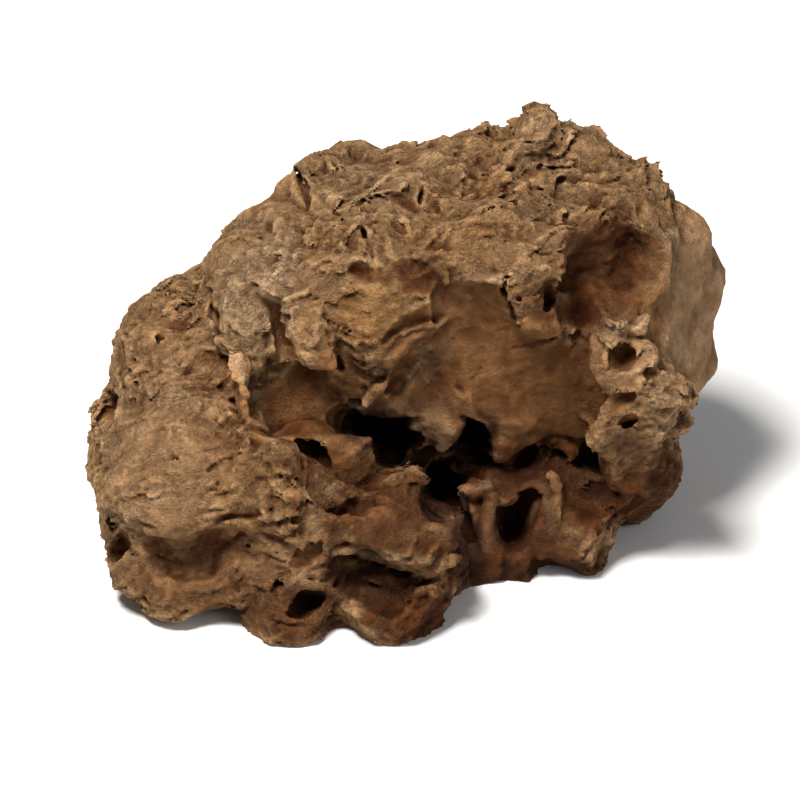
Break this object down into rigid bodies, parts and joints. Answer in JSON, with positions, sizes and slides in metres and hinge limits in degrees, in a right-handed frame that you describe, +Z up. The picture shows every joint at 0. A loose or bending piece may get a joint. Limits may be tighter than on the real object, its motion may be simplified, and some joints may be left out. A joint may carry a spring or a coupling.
{
  "type": "aquarium decorative rock",
  "caption": "Weathered cavernous limestone rock for an aquarium, with a toothed cavern mouth, smooth scooped hollows with sharp rims and a flat underside to rest on.",
  "frame": {"origin": "a point of the flat underside, near the middle of the ground that the rock covers", "axes": "+Z up, the toothed front faces -Y, and the rock is longest along X"},
  "size_m": [0.2532, 0.181, 0.1578],
  "materials": {
    "stone": "rough, porous, weathered"
  },
  "bodies": {
    "root": {"stone": "stone"}
  },
  "joints": []
}
